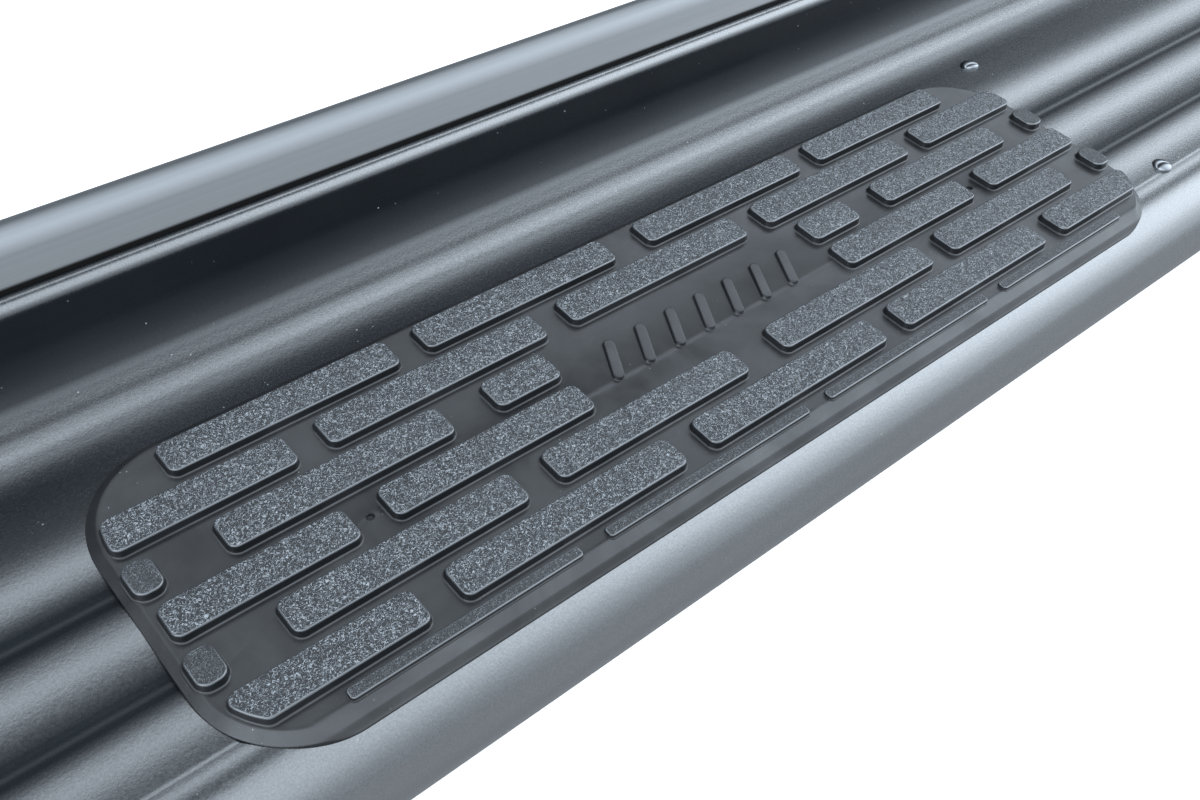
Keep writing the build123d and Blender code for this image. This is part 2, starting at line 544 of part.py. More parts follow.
for n, x in enumerate(STATIONS, 1):
    bolt_xy = [(x - SLOT_X, 0.0), (x + SLOT_X, 0.0)]

    with BuildPart() as arm:
        with BuildSketch(Plane.YZ.offset(x - ARM_W / 2)):
            with BuildLine():
                Polyline(*ARM_SIDE, close=True)
            make_face()
        extrude(amount=ARM_W)
        # hollow between the two cheeks, under the web
        with BuildSketch(Plane.YZ.offset(x - ARM_W / 2 + CHEEK_T)):
            with BuildLine():
                Polyline(*WEB_LOW, (WEB_LOW[-1][0], -90.0), (-60.0, -90.0), close=True)
            make_face()
        extrude(amount=ARM_W - 2 * CHEEK_T, mode=Mode.SUBTRACT)
        # formed outer bend along both top edges
        fillet(arm.edges().filter_by(lambda e: abs(abs(e.center().X - x) - ARM_W / 2) < 0.01
                                     and (abs(e.center().Z - ARM_Z) < 0.01
                                          or (e.center().Y > 113 and abs(e.center().Z - (ARM_Z + (e.center().Y - 112.0) * WEB_SLOPE)) < 0.05))
                                     and e.length > 20), 3.0)
        with BuildSketch(Plane.XY.offset(ARM_Z + 1)):
            with Locations(*bolt_xy):
                Circle(4.25)
        extrude(amount=-(ARM_T + 3), mode=Mode.SUBTRACT)
        # lightening hole in the web
        with BuildSketch(Plane.XY.offset(ARM_Z + 1)):
            with Locations((x, 68.0)):
                SlotOverall(46, 22, rotation=90)
        extrude(amount=-(ARM_T + 3), mode=Mode.SUBTRACT)
    arm.part.label = f"bracket_arm_{n}"
    export_step(arm.part, f"parts/bracket_arm_{n}.step")

    with BuildPart() as foot:
        with BuildSketch(Plane.XZ.offset(-FOOT_Y - 0.02)):
            with BuildLine():
                w, v = FOOT_W / 2, ARM_W / 2 + 3
                Polyline((x - v, FOOT_Z0), (x + v, FOOT_Z0), (x + v, 12.0), (x + w, 28.0), (x + w, FOOT_Z1),
                         (x - w, FOOT_Z1), (x - w, 28.0), (x - v, 12.0), close=True)
            make_face()
        extrude(amount=-FOOT_T)
        fillet(foot.edges().filter_by(Axis.Y), 7.0)
        with BuildSketch(Plane.XZ.offset(-FOOT_Y + 2)):
            with Locations((x - FOOT_SLOT_DX / 2, FOOT_SLOT_Z), (x + FOOT_SLOT_DX / 2, FOOT_SLOT_Z)):
                SlotOverall(FOOT_SLOT_L, FOOT_SLOT_W)
        extrude(amount=-(FOOT_T + 6), mode=Mode.SUBTRACT)
    foot.part.label = f"bracket_foot_{n}"
    export_step(foot.part, f"parts/bracket_foot_{n}.step")

    with BuildPart() as isolator:
        with BuildSketch(Plane.XZ.offset(-FOOT_Y - FOOT_T - 0.04)):
            with Locations((x, FOOT_SLOT_Z)):
                RectangleRounded(FOOT_W - 2, 44.0, 6.0)
            with Locations((x - FOOT_SLOT_DX / 2, FOOT_SLOT_Z), (x + FOOT_SLOT_DX / 2, FOOT_SLOT_Z)):
                SlotOverall(FOOT_SLOT_L, FOOT_SLOT_W, mode=Mode.SUBTRACT)
        extrude(amount=-ISO_T)
    isolator.part.label = f"foot_isolator_{n}"
    export_step(isolator.part, f"parts/foot_isolator_{n}.step")

    with BuildPart() as gusset:
        y0 = 150.0
        z0 = ARM_Z + (y0 - 112.0) * WEB_SLOPE + 0.03
        with BuildSketch(Plane.YZ.offset(x - 2.5)):
            with BuildLine():
                Polyline((y0, z0), (FOOT_Y - 0.02, 8.0 + 0.03), (FOOT_Y - 0.02, 40.0), (FOOT_Y - 7.0, 40.0),
                         (y0, z0 + 5.0), close=True)
            make_face()
        extrude(amount=5.0)
    gusset.part.label = f"bracket_gusset_{n}"
    export_step(gusset.part, f"parts/bracket_gusset_{n}.step")

    with BuildPart() as bolts:
        # domed heads on the saddle seat, square necks in the slots
        with BuildSketch(Plane.XY.offset(SADDLE_TOP + 0.02)):
            with Locations(*bolt_xy):
                Circle(8.5)
        extrude(amount=4.2)
        fillet(bolts.edges().group_by(Axis.Z)[-1], 3.6)
        with BuildSketch(Plane.XY.offset(SADDLE_TOP + 0.5)):
            with Locations(*bolt_xy):
                Rectangle(8.2, 8.2)
        extrude(amount=-(SADDLE_T + 0.45))
        with BuildSketch(Plane.XY.offset(SADDLE_TOP)):
            with Locations(*bolt_xy):
                Circle(3.95)
        extrude(amount=-25.0)
        chamfer(bolts.edges().group_by(Axis.Z)[0], 0.8)
    bolts.part.label = f"saddle_bolts_{n}"
    export_step(bolts.part, f"parts/saddle_bolts_{n}.step")

    with BuildPart() as washers:
        with BuildSketch(Plane.XY.offset(Z_W - 0.02)):
            with Locations(*bolt_xy):
                Circle(8.0)
                Circle(4.2, mode=Mode.SUBTRACT)
        extrude(amount=-WASHER_T)
    washers.part.label = f"saddle_washers_{n}"
    export_step(washers.part, f"parts/saddle_washers_{n}.step")

    with BuildPart() as lock_washers:
        with BuildSketch(Plane.XY.offset(Z_L - 0.02)):
            with Locations(*bolt_xy):
                Circle(6.6)
                Circle(4.1, mode=Mode.SUBTRACT)
        extrude(amount=-LOCK_T)
        # split of the spring washer
        with BuildSketch(Plane.XY.offset(Z_L)):
            with Locations(*[(bx + 5.4, by) for bx, by in bolt_xy]):
                Rectangle(4.0, 0.9, rotation=12)
        extrude(amount=-(LOCK_T + 0.5), mode=Mode.SUBTRACT)
    lock_washers.part.label = f"saddle_lock_washers_{n}"
    export_step(lock_washers.part, f"parts/saddle_lock_washers_{n}.step")

    with BuildPart() as nuts:
        with BuildSketch(Plane.XY.offset(Z_N - 0.02)):
            with Locations(*bolt_xy):
                RegularPolygon(NUT_AF / 2, 6, major_radius=False)
                Circle(4.0, mode=Mode.SUBTRACT)
        extrude(amount=-NUT_H)
    nuts.part.label = f"saddle_nuts_{n}"
    export_step(nuts.part, f"parts/saddle_nuts_{n}.step")
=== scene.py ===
import random
from math import sin, cos, tan, radians, degrees, atan2, sqrt, hypot, pi, ceil

import bpy
from mathutils import Matrix, Vector


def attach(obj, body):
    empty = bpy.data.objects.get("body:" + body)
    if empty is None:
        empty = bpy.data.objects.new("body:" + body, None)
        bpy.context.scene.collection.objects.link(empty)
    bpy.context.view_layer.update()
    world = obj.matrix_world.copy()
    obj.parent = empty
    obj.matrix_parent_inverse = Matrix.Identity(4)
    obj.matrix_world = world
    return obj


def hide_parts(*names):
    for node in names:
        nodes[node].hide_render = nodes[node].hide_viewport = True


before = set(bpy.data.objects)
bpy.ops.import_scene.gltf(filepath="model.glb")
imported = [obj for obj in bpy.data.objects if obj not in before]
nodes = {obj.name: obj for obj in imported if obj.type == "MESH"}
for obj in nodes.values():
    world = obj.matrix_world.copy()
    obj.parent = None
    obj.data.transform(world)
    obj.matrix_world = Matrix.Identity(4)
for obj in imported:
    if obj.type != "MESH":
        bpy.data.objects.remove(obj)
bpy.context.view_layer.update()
scene = bpy.context.scene
random.seed(7)
MM = 0.001

# ============================================================ deck section
# the same cross-section as the CAD source, in millimetres (Y, Z)
DECK_L, SHEET = 1960.0, 2.0
NOSE_Y, NOSE_R = -66.0, 26.2
CREST_Y = (-50.2, -12.4, 25.4)
WAVE_H, TROUGH_R, FRONT_TROUGH_R = 2.0, 10.0, 8.0
SLOPE_DEG, SLOPE_Y1, GUTTER_R = 13.0, 64.0, 62.0
COVE_Y, COVE_R = 90.0, 23.0
UPSTAND_Y = COVE_Y + COVE_R
BEND_Z, BEND_R = 24.3, 5.0
FLANGE_DEG, FLANGE_L = -20.0, 17.0
LIP_Y, HEM_R, HEM_H = -52.0, 3.0, 6.0
RIDGE_R = ((37.8 / 2) ** 2 + WAVE_H ** 2) / (2 * WAVE_H) - TROUGH_R
STATIONS = (-860.0, -235.0, 235.0, 860.0)
RIVET_Y = (-57.4, 59.5)


def between(c1, r1, c2, r2, r):
    d1, d2 = r1 + r, r2 + r
    dx, dy = c2[0] - c1[0], c2[1] - c1[1]
    d = hypot(dx, dy)
    a = (d1 * d1 - d2 * d2 + d * d) / (2 * d)
    h = sqrt(d1 * d1 - a * a)
    return (c1[0] + a * dx / d - h * dy / d, c1[1] + a * dy / d + h * dx / d)


def ang(c, p):
    return degrees(atan2(p[1] - c[1], p[0] - c[0]))


NOSE_C = (NOSE_Y, -NOSE_R)
C3, C2, C1 = [(y, -RIDGE_R) for y in CREST_Y]
V3 = between(NOSE_C, NOSE_R, C3, RIDGE_R, FRONT_TROUGH_R)
V2 = between(C3, RIDGE_R, C2, RIDGE_R, TROUGH_R)
V1 = between(C2, RIDGE_R, C1, RIDGE_R, TROUGH_R)
SL = radians(SLOPE_DEG)
SLOPE_A = (C1[0] + RIDGE_R * sin(SL), C1[1] + RIDGE_R * cos(SL))
SLOPE_B = (SLOPE_Y1, SLOPE_A[1] - (SLOPE_Y1 - SLOPE_A[0]) * tan(SL))
GUTTER_C = (SLOPE_B[0] + GUTTER_R * sin(SL), SLOPE_B[1] + GUTTER_R * cos(SL))
LAND_Z = GUTTER_C[1] - GUTTER_R
COVE_C = (COVE_Y, LAND_Z + COVE_R)
BEND_C = (UPSTAND_Y + BEND_R, BEND_Z)
HEM_C = (LIP_Y, -2 * NOSE_R + HEM_R)
LIP_Z = -2 * NOSE_R
U = (cos(radians(FLANGE_DEG)), sin(radians(FLANGE_DEG)))
N = (-U[1], U[0])
BEND_END = (BEND_C[0] + BEND_R * N[0], BEND_C[1] + BEND_R * N[1])
FLANGE_END = (BEND_END[0] + FLANGE_L * U[0], BEND_END[1] + FLANGE_L * U[1])
REAR_HEAD_Z = SLOPE_A[1] - (RIVET_Y[1] - SLOPE_A[0]) * tan(SL)
FRONT_HEAD_Z = -0.45

CHAIN = [
    ("line", (HEM_C[0] + HEM_R, HEM_C[1] + HEM_H), (HEM_C[0] + HEM_R, HEM_C[1]), (-1, 0)),
    ("arc", HEM_C, HEM_R, 0.0, -90.0, 1),
    ("line", (LIP_Y, LIP_Z), (NOSE_Y, LIP_Z), (0, 1)),
    ("arc", NOSE_C, NOSE_R, -90.0, -360.0 + ang(NOSE_C, V3), 1),
    ("arc", V3, FRONT_TROUGH_R, ang(V3, NOSE_C), ang(V3, C3), -1),
    ("arc", C3, RIDGE_R, ang(C3, V3), ang(C3, V2), 1),
    ("arc", V2, TROUGH_R, ang(V2, C3), ang(V2, C2), -1),
    ("arc", C2, RIDGE_R, ang(C2, V2), ang(C2, V1), 1),
    ("arc", V1, TROUGH_R, ang(V1, C2), ang(V1, C1), -1),
    ("arc", C1, RIDGE_R, ang(C1, V1), 90.0 - SLOPE_DEG, 1),
    ("line", SLOPE_A, SLOPE_B, (-sin(SL), -cos(SL))),
    ("arc", GUTTER_C, GUTTER_R, -90.0 - SLOPE_DEG, -90.0, -1),
    ("line", (GUTTER_C[0], LAND_Z), (COVE_Y, LAND_Z), (0, -1)),
    ("arc", COVE_C, COVE_R, -90.0, 0.0, -1),
    ("line", (UPSTAND_Y, COVE_C[1]), (UPSTAND_Y, BEND_Z), (1, 0)),
    ("arc", BEND_C, BEND_R, 180.0, 90.0 + FLANGE_DEG, 1),
    ("line", BEND_END, FLANGE_END, (-N[0], -N[1])),
]


def profile():
    """Dense list of (surface point, inner point) along the section."""
    out = []
    for seg in CHAIN:
        if seg[0] == "line":
            _, p, q, n = seg
            length = hypot(q[0] - p[0], q[1] - p[1])
            k = max(2, int(length / 2.5))
            for i in range(k + 1):
                t = i / k
                a = (p[0] + t * (q[0] - p[0]), p[1] + t * (q[1] - p[1]))
                out.append((a, (a[0] + SHEET * n[0], a[1] + SHEET * n[1])))
        else:
            _, c, r, a0, a1, sign = seg
            k = max(3, int(ceil(abs(a1 - a0) / (2.0 if r < 40 else 0.5))))
            for i in range(k + 1):
                a = radians(a0 + (a1 - a0) * i / k)
                d = (cos(a), sin(a))
                ri = r - sign * SHEET
                out.append(((c[0] + r * d[0], c[1] + r * d[1]), (c[0] + ri * d[0], c[1] + ri * d[1])))
    def lift(p):
        t = max(0.0, min(1.0, (p[0] - 82.0) / 16.0))
        return (p[0], p[1] + 1.7 * t * t * (3 - 2 * t) * (1.0 if p[1] < 12 else max(0.0, 1 - (p[1] - 12) / 8.0)))

    out = [(lift(a), lift(b)) for a, b in out]
    clean = [out[0]]
    for s in out[1:]:
        if hypot(s[0][0] - clean[-1][0][0], s[0][1] - clean[-1][0][1]) > 1e-4:
            clean.append(s)
    return clean


# ============================================================ mesh helpers
def new_object(name, verts, faces, mats, face_mats=None, angle=32.0, scale=MM):
    me = bpy.data.meshes.new(name)
    me.from_pydata([(x * scale, y * scale, z * scale) for x, y, z in verts], [], faces)
    for m in mats:
        me.materials.append(m)
    if face_mats:
        me.polygons.foreach_set("material_index", face_mats)
    me.update()
    me.shade_smooth()
    me.set_sharp_from_angle(angle=radians(angle))
    ob = bpy.data.objects.new(name, me)
    scene.collection.objects.link(ob)
    return ob


class Mesh:
    """Collects closed shells in millimetres."""

    def __init__(self):
        self.v, self.f, self.m = [], [], []

    def ring(self, pts):
        base = len(self.v)
        self.v.extend(pts)
        return list(range(base, base + len(pts)))

    def band(self, a, b, mat):
        n = len(a)
        for i in range(n):
            j = (i + 1) % n
            self.f.append((a[i], a[j], b[j], b[i]))
            self.m.append(mat)

    def cap(self, ring, mat, flip=False):
        self.f.append(tuple(reversed(ring)) if flip else tuple(ring))
        self.m.append(mat)


def clip(poly, nx, ny, d):
    """Part of a convex polygon where n.p <= d."""
    out = []
    for i, p in enumerate(poly):
        q = poly[(i + 1) % len(poly)]
        dp, dq = nx * p[0] + ny * p[1] - d, nx * q[0] + ny * q[1] - d
        if dp <= 0:
            out.append(p)
        if dp * dq < 0:
            t = dp / (dp - dq)
            out.append((p[0] + t * (q[0] - p[0]), p[1] + t * (q[1] - p[1])))
    clean = []
    for p in out:
        if not clean or hypot(p[0] - clean[-1][0], p[1] - clean[-1][1]) > 1e-3:
            clean.append(p)
    if len(clean) > 1 and hypot(clean[0][0] - clean[-1][0], clean[0][1] - clean[-1][1]) < 1e-3:
        clean.pop()
    return clean


def rounded(core, rad, step=15.0):
    """Outline of a convex core polygon (counter-clockwise) grown by rad."""
    n = len(core)
    angles = []
    for i in range(n):
        p, q = core[i], core[(i + 1) % n]
        angles.append(atan2(-(q[0] - p[0]), q[1] - p[1]))
    pts = []
    for i in range(n):
        a0, a1 = angles[i - 1], angles[i]
        while a1 < a0 - 1e-9:
            a1 += 2 * pi
        k = max(1, int(ceil(degrees(a1 - a0) / step)))
        for j in range(k + 1):
            a = a0 + (a1 - a0) * j / k
            pts.append((core[i][0] + rad * cos(a), core[i][1] + rad * sin(a)))
    return pts


# ============================================================ step pads
PAD_X, PAD_L = 500.0, 480.0
PAD_Y0, PAD_Y1 = -78.0, 55.5
PAD_CORNER_R, FLOOR, BLOCK_H, BLOCK_R = 37.0, 3.2, 3.4, 3.2
ROW_Y0, ROW_PITCH, ROW_D = 41.7, 19.6, 14.1
BLOCKS = [
    (0, 9.2, 102.4), (0, 114.6, 205.4),
    (1, 60.8, 156.4), (1, 168.7, 240.0),
    (2, 70.2, 99.0), (2, 118.1, 205.1), (2, 226.6, 236.5),
    (3, 70.2, 156.0), (3, 169.0, 234.1),
    (4, 9.9, 102.0), (4, 115.6, 205.1), (4, 226.6, 236.5),
    (5, 60.8, 156.6), (5, 169.2, 240.0),
]
CENTRE = [(1, 48.2), (5, 48.2)]
SLIVERS = [(5.8, 103.6), (115.5, 203.4)]
PAD_CY = (PAD_Y0 + PAD_Y1) / 2
# material slots of a pad
M_FLOOR, M_SIDE, M_TOP, M_SMALL, M_UNDER, M_EDGE_HIGHLIGHT = 0, 1, 2, 3, 4, 5


def interp(pts, x):
    if x <= pts[0][0]:
        return pts[0][1]
    for (x0, y0), (x1, y1) in zip(pts, pts[1:]):
        if x <= x1:
            return y0 + (y1 - y0) * (x - x0) / (x1 - x0)
    return pts[-1][1]


def smin(a, b, k):
    h = max(0.0, min(1.0, 0.5 + 0.5 * (b - a) / k))
    return b + (a - b) * h - k * h * (1 - h)


def pad_top(inset, y):
    chamfer = 0.4 + inset * 2.4 / 3.2
    facet = interp([(-79.0, -3.0), (-77.4, -1.6), (-75.6, 0.9), (-70.7, FLOOR), (-60.7, FLOOR + 4.0)], y)
    return smin(smin(FLOOR, chamfer, 0.35), facet, 0.35)


def pad_bottom(y):
    if y < NOSE_Y:
        return -NOSE_R + sqrt((NOSE_R + 0.06) ** 2 - (y - NOSE_Y) ** 2)
    return interp([(27.2, 0.06), (36.0, -0.45), (43.5, -1.95), (66.0, -7.1)], y)


def corner_planes(inset, r):
    """Half-planes that keep a block inside the pad's rounded corners."""
    out = []
    hx, hy = PAD_L / 2 - PAD_CORNER_R, (PAD_Y1 - PAD_Y0) / 2 - PAD_CORNER_R
    rad = PAD_CORNER_R - inset - r
    for sx in (-1, 1):
        for sy in (-1, 1):
            for k in range(0, 91, 3):
                a = radians(k)
                n = (sx * cos(a), sy * sin(a))
                c = (sx * hx, PAD_CY + sy * hy)
                out.append((n[0], n[1], n[0] * c[0] + n[1] * c[1] + rad))
    return out


def block(mesh, x0, x1, yc, depth, r, h, top_mat, base=FLOOR, inset=6.0, flare=1.0, step=15.0):
    r = min(r, (x1 - x0) / 2 - 0.6, depth / 2 - 0.4)
    core = [(x0 + r, yc - depth / 2 + r), (x1 - r, yc - depth / 2 + r),
            (x1 - r, yc + depth / 2 - r), (x0 + r, yc + depth / 2 - r)]
    for nx, ny, d in corner_planes(inset, r):
        core = clip(core, nx, ny, d)
        if len(core) < 3:
            return
    k = h / BLOCK_H
    spread = h * tan(radians(6.0))
    rings = [
        (spread + 0.95 * flare, -0.30, M_FLOOR), (spread + 0.80 * flare, 0.03, M_FLOOR),
        (spread + 0.42 * flare, 0.10, M_FLOOR), (spread + 0.16 * flare, 0.30 * k, M_FLOOR),
        (spread - 0.02, 0.75 * k, M_SIDE), (0.12, h - 0.62 * k, M_SIDE), (0.03, h - 0.36 * k, M_EDGE_HIGHLIGHT),
        (-0.14, h - 0.14 * k, M_EDGE_HIGHLIGHT), (-0.42, h - 0.03 * k, M_EDGE_HIGHLIGHT), (-0.62, h, top_mat),
    ]
    prev = None
    for off, z, mat in rings:
        ring = mesh.ring([(x, y, base + z) for x, y in rounded(core, r + off, step)])
        if prev is None:
            mesh.cap(ring, M_UNDER, flip=True)
        else:
            mesh.band(prev, ring, mat)
        prev = ring
    mesh.cap(prev, top_mat)


def stadium(mesh, x, y, length, width, turn, h, mat, base=FLOOR):
    r = width / 2
    a = radians(turn)
    d = ((length / 2 - r) * cos(a), (length / 2 - r) * sin(a))
    core = [(x - d[0], y - d[1]), (x + d[0], y + d[1])]
    prev = None
    for off, z in ((0.75, -0.30), (0.62, 0.03), (0.3, 0.10), (0.1, 0.35), (-0.10, h - 0.4), (-0.22, h - 0.15),
                   (-0.5, h - 0.02), (-0.8, h)):
        ring = mesh.ring([(px, py, base + z) for px, py in rounded(core, r + off)])
        if prev is None:
            mesh.cap(ring, M_UNDER, flip=True)
        else:
            mesh.band(prev, ring, mat)
        prev = ring
    mesh.cap(prev, mat)


def build_pad(name, x_c, mats):
    mesh = Mesh()
    hx, hy = PAD_L / 2 - PAD_CORNER_R, (PAD_Y1 - PAD_Y0) / 2 - PAD_CORNER_R
    core = [(-hx, PAD_CY - hy), (hx, PAD_CY - hy), (hx, PAD_CY + hy), (-hx, PAD_CY + hy)]
    insets = [8.4, 7.9, 7.4, 6.9, 6.2, 5.2, 4.2, 3.7, 3.4, 3.1, 2.8, 2.5, 2.2, 1.8, 1.2, 0.8, 0.5, 0.3, 0.12]
    prev = None
    for d in insets:
        pts = rounded(core, PAD_CORNER_R - d, 3.0)
        ring = mesh.ring([(x, y, pad_top(d, y)) for x, y in pts])
        if prev is not None:
            mesh.band(ring, prev, M_FLOOR if d < 3.0 else M_FLOOR)
        else:
            first = ring
        prev = ring
    outline = rounded(core, PAD_CORNER_R, 3.0)
    lip = mesh.ring([(x, y, pad_top(0.0, y) - 0.12) for x, y in outline])
    mesh.band(lip, prev, M_FLOOR)
    low = mesh.ring([(x, y, min(pad_bottom(y), pad_top(0.0, y) - 0.2)) for x, y in outline])
    mesh.band(low, lip, M_SIDE)
    # floor with two gate-mark dimples
    holes = []
    for gx in (-162.0, 162.0):
        rings = []
        for rad, z in ((1.75, 0.0), (1.5, 0.10), (1.25, -0.05), (1.1, -0.7)):
            rings.append(mesh.ring([(gx + rad * cos(2 * pi * i / 20), -16.6 + rad * sin(2 * pi * i / 20), FLOOR + z)
                                    for i in range(20)]))
        for a, b in zip(rings, rings[1:]):
            mesh.band(a, b, M_SIDE)
        mesh.cap(rings[-1], M_SIDE)
        holes.append(rings[0])
    from mathutils.geometry import tessellate_polygon
    loops = [first] + holes
    flat = [i for loop in loops for i in loop]
    for tri in tessellate_polygon([[Vector((mesh.v[i][0], mesh.v[i][1], 0)) for i in loop] for loop in loops]):
        a, b, c = (flat[t] for t in tri)
        pa, pb, pc = mesh.v[a], mesh.v[b], mesh.v[c]
        cross = (pb[0] - pa[0]) * (pc[1] - pa[1]) - (pb[1] - pa[1]) * (pc[0] - pa[0])
        mesh.f.append((a, b, c) if cross > 0 else (a, c, b))
        mesh.m.append(M_FLOOR)
    # underside in strips across the pad, mirrored left to right
    left, right = {}, {}
    for i in low:
        x, y, _ = mesh.v[i]
        key = round(y, 4)
        (right if x > 0 else left)[key] = i
    keys = [k for k in sorted(left) if k in right]
    for k0, k1 in zip(keys, keys[1:]):
        mesh.f.append((left[k0], left[k1], right[k1], right[k0]))
        mesh.m.append(M_UNDER)
    # tread blocks
    for row, x0, x1 in BLOCKS:
        small = x1 - x0 < 15
        for s in (-1, 1):
            a, b = (x0, x1) if s > 0 else (-x1, -x0)
            block(mesh, a, b, ROW_Y0 - row * ROW_PITCH, ROW_D if not small else ROW_D - 0.4,
                  BLOCK_R if not small else 3.9, BLOCK_H, M_SMALL if small else M_TOP, inset=3.2 if small else 5.2)
    for row, hxw in CENTRE:
        block(mesh, -hxw, hxw, ROW_Y0 - row * ROW_PITCH, ROW_D, BLOCK_R, BLOCK_H, M_TOP)
    for x0, x1 in SLIVERS:
        for s in (-1, 1):
            a, b = (x0, x1) if s > 0 else (-x1, -x0)
            block(mesh, a, b, -69.1, 4.2, 1.4, 1.5, M_SMALL, flare=0.5, inset=0.0)
    # plain slanted grip bars in the middle
    for k in range(7):
        stadium(mesh, -48 + 16 * k, -7.6, 21.0, 4.4, 62.0, 1.7, M_FLOOR)
    # studs through the deck
    for sx in (-205.0, -70.0, 70.0, 205.0):
        for sy in (25.4, -50.2):
            rings = []
            for rad, z in ((2.3, -13.0), (3.0, -12.2), (3.0, 1.0)):
                rings.append(mesh.ring([(sx + rad * cos(2 * pi * i / 24), sy + rad * sin(2 * pi * i / 24), z)
                                        for i in range(24)]))
            mesh.cap(rings[0], M_UNDER, flip=True)
            for a, b in zip(rings, rings[1:]):
                mesh.band(a, b, M_UNDER)
            mesh.cap(rings[-1], M_UNDER)
    verts = [(x + x_c, y, z) for x, y, z in mesh.v]
    return new_object(name, verts, mesh.f, mats, mesh.m, angle=38.0)


# ============================================================ materials
class Nodes:
    def __init__(self, name):
        self.mat = bpy.data.materials.new(name)
        self.mat.use_nodes = True
        self.t = self.mat.node_tree
        self.t.nodes.clear()
        self.out = self.t.nodes.new("ShaderNodeOutputMaterial")
        self.p = self.t.nodes.new("ShaderNodeBsdfPrincipled")
        self.link(self.p.outputs[0], self.out.inputs[0])
        self.pos = self.t.nodes.new("ShaderNodeTexCoord").outputs["Object"]

    def link(self, a, b):
        self.t.links.new(a, b)

    def put(self, socket, value):
        if hasattr(value, "is_linked") or isinstance(value, bpy.types.NodeSocket):
            self.link(value, socket)
        else:
            socket.default_value = value

    def scaled(self, sx, sy, sz):
        n = self.t.nodes.new("ShaderNodeMapping")
        n.inputs["Scale"].default_value = (sx, sy, sz)
        self.link(self.pos, n.inputs["Vector"])
        return n.outputs[0]

    def noise(self, scale, detail=2.0, rough=0.5, vector=None, distortion=0.0):
        n = self.t.nodes.new("ShaderNodeTexNoise")
        n.inputs["Scale"].default_value = scale
        n.inputs["Detail"].default_value = detail
        n.inputs["Roughness"].default_value = rough
        n.inputs["Distortion"].default_value = distortion
        self.link(vector or self.pos, n.inputs["Vector"])
        return n.outputs["Fac"]

    def voronoi(self, scale, feature="F1", randomness=1.0, vector=None, out="Distance"):
        n = self.t.nodes.new("ShaderNodeTexVoronoi")
        n.feature = feature
        n.inputs["Scale"].default_value = scale
        n.inputs["Randomness"].default_value = randomness
        self.link(vector or self.pos, n.inputs["Vector"])
        return n.outputs[out]

    def math(self, op, a, b=0.5, c=None, clamp=False):
        n = self.t.nodes.new("ShaderNodeMath")
        n.operation = op
        n.use_clamp = clamp
        self.put(n.inputs[0], a)
        self.put(n.inputs[1], b)
        if c is not None:
            self.put(n.inputs[2], c)
        return n.outputs[0]

    def remap(self, v, a, b, c=0.0, d=1.0):
        n = self.t.nodes.new("ShaderNodeMapRange")
        n.clamp = True
        self.put(n.inputs[0], v)
        for i, x in enumerate((a, b, c, d), 1):
            n.inputs[i].default_value = x
        return n.outputs[0]

    def mix(self, fac, a, b):
        n = self.t.nodes.new("ShaderNodeMix")
        n.data_type = "RGBA"
        self.put(n.inputs[0], fac)
        self.put(n.inputs[6], a)
        self.put(n.inputs[7], b)
        return n.outputs[2]

    def bump(self, height, strength, distance, normal=None):
        n = self.t.nodes.new("ShaderNodeBump")
        n.inputs["Strength"].default_value = strength
        n.inputs["Distance"].default_value = distance
        self.put(n.inputs["Height"], height)
        if normal is not None:
            self.link(normal, n.inputs["Normal"])
        return n.outputs[0]

    def rims(self, radius):
        """1 on the sharp edges of a coarse flat-faced mesh, 0 on its faces."""
        bevel = self.t.nodes.new("ShaderNodeBevel")
        bevel.samples = 4
        bevel.inputs["Radius"].default_value = radius
        geo = self.t.nodes.new("ShaderNodeNewGeometry")
        dot = self.t.nodes.new("ShaderNodeVectorMath")
        dot.operation = "DOT_PRODUCT"
        self.link(bevel.outputs[0], dot.inputs[0])
        self.link(geo.outputs["Normal"], dot.inputs[1])
        return self.remap(dot.outputs["Value"], 0.992, 0.90)

    def edges(self, lo=0.52, hi=0.60):
        g = self.t.nodes.new("ShaderNodeNewGeometry")
        return self.remap(g.outputs["Pointiness"], lo, hi)

    def set(self, **kw):
        names = {"color": "Base Color", "rough": "Roughness", "metal": "Metallic", "normal": "Normal",
                 "ior": "IOR", "coat": "Coat Weight", "coat_rough": "Coat Roughness", "sheen": "Sheen Weight",
                 "spec": "Specular IOR Level", "aniso": "Anisotropic"}
        for k, v in kw.items():
            self.put(self.p.inputs[names[k]], v)
        return self.mat


def rgb(r, g, b):
    return (r, g, b, 1.0)


